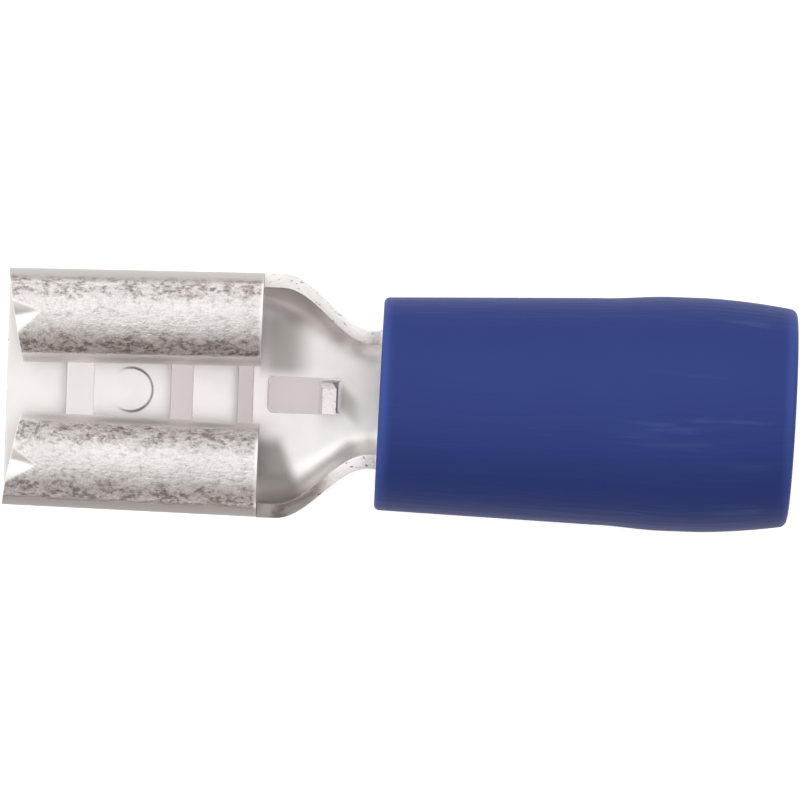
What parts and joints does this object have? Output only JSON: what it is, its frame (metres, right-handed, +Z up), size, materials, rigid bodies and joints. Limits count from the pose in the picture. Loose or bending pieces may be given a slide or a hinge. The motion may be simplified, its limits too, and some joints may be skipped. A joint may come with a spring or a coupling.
{
  "type": "female spade terminal",
  "caption": "Insulated female push-on spade terminal: a folded tab receptacle with rolled wings, a narrowed neck and a crimp barrel inside a flared vinyl sleeve.",
  "frame": {"origin": "middle of the whole part's box, on the surface that it rests on", "axes": "+X from the receptacle's mouth to the wire end, +Y across, +Z up, the rolled wings on top"},
  "size_m": [0.0194, 0.006, 0.0061],
  "materials": {
    "tinned_brass": "tin plated, satin",
    "blue_vinyl": "soft satin"
  },
  "bodies": {
    "root": {"terminal": "tinned_brass", "insulating_sleeve": "blue_vinyl"}
  },
  "joints": []
}
